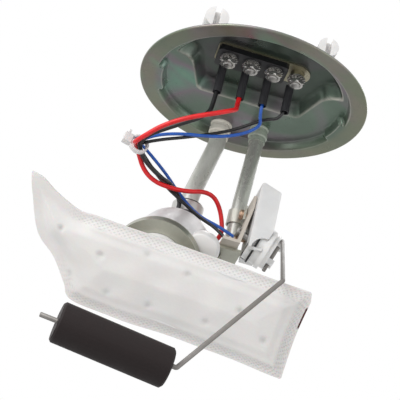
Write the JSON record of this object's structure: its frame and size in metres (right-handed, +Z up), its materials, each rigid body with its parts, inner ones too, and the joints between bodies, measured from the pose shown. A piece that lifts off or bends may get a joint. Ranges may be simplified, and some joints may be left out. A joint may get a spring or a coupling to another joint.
{
  "type": "in-tank fuel pump module",
  "caption": "In-tank fuel pump module with a round flange, two steel lines, a strainer sock and a level sender with a float.",
  "frame": {"origin": "centre of the flange's sealing face, on the underside of its rim", "axes": "+Z up out of the tank, +X along the row of terminal studs, -Y towards the side with the float"},
  "size_m": [0.1501, 0.148, 0.213],
  "materials": {
    "zinc_steel": "glossy",
    "yellow_zinc": "satin",
    "bright_steel": "satin",
    "olive_zinc": "satin",
    "lavender_steel": "satin",
    "black_plastic": "matte",
    "white_plastic": "matte",
    "clear_nylon": "satin",
    "amber_plastic": "matte",
    "rubber_black": "matte",
    "float_nitrile": "matte",
    "filter_cloth": "matte",
    "copper": "satin",
    "carbon": "matte",
    "red_insulation": "satin",
    "blue_insulation": "satin",
    "ceramic_board": "matte",
    "iron": "matte"
  },
  "bodies": {
    "module": {"flange_plate": "zinc_steel", "terminal_backing_plate": "yellow_zinc", "terminal_insulator": "black_plastic", "ground_spacer": "yellow_zinc", "terminal_studs": "bright_steel", "ring_terminals": "bright_steel", "terminal_sleeves": "rubber_black", "stud_lock_washers": "bright_steel", "stud_nuts": "bright_steel", "connector_shell": "black_plastic", "supply_tube": "bright_steel", "return_tube": "bright_steel", "supply_tube_collar": "bright_steel", "return_tube_collar": "bright_steel", "pump_case": "lavender_steel", "pump_inlet_cover": "amber_plastic", "impeller_plate": "amber_plastic", "shaft_bearings": "copper", "magnets": "iron", "brushes": "carbon", "brush_springs": "bright_steel", "pump_outlet_cover": "lavender_steel", "valve_springs": "bright_steel", "pump_terminals": "bright_steel", "outlet_hose": "rubber_black", "hose_clamps": "bright_steel", "pump_bracket": "olive_zinc", "pump_isolator": "white_plastic", "strainer_collar": "white_plastic", "strainer_sock": "filter_cloth", "strainer_push_ring": "bright_steel", "strainer_frame": "white_plastic", "sender_housing": "clear_nylon", "sender_cover": "clear_nylon", "resistor_card": "ceramic_board", "sender_pivot": "bright_steel", "sender_bracket": "olive_zinc", "tube_clip": "olive_zinc", "sender_screw": "copper", "sender_terminal": "copper", "wire_pump_ground": "rubber_black", "wire_pump_positive": "red_insulation", "wire_sender": "blue_insulation", "wire_sender_ground": "rubber_black", "cable_tie": "white_plastic", "blade_sockets": "black_plastic"},
    "motor": {"impeller": "amber_plastic", "armature_shaft": "bright_steel", "armature": "iron", "armature_windings": "copper", "commutator": "copper"},
    "level_arm": {"sender_rotor": "clear_nylon", "sender_wiper": "copper", "float_arm": "bright_steel"},
    "float_body": {"float": "float_nitrile"},
    "outlet_check": {"check_valve": "rubber_black"},
    "relief": {"relief_ball": "bright_steel"},
    "supply_cap": {"supply_line_cap": "white_plastic"},
    "return_cap": {"return_line_cap": "white_plastic"}
  },
  "joints": [
    {"name": "motor_spin", "type": "hinge", "parent": "module", "child": "motor", "pos_m": [-0.02559, -0.01197, -0.10553], "axis": [0.1703, 0.8013, 0.5736], "continuous": true},
    {"name": "arm_swing", "type": "hinge", "parent": "module", "child": "level_arm", "pos_m": [0.0227, 0.018, -0.0717], "axis": [-0.9511, 0, 0.309], "range_deg": [0, 62]},
    {"name": "float_turn", "type": "hinge", "parent": "level_arm", "child": "float_body", "pos_m": [-0.0159, -0.0743, -0.1768], "axis": [-0.9883, -0.1227, 0.0904], "continuous": true},
    {"name": "check_lift", "type": "slide", "parent": "module", "child": "outlet_check", "axis": [0.1703, 0.8013, 0.5736], "range_m": [0, 0.0016]},
    {"name": "relief_lift", "type": "slide", "parent": "module", "child": "relief", "axis": [0.1703, 0.8013, 0.5736], "range_m": [0, 0.0008]},
    {"name": "supply_cap_pull", "type": "slide", "parent": "module", "child": "supply_cap", "axis": [0, -1, 0], "range_m": [0, 0.02]},
    {"name": "return_cap_pull", "type": "slide", "parent": "module", "child": "return_cap", "axis": [0, -1, 0], "range_m": [0, 0.02]}
  ]
}
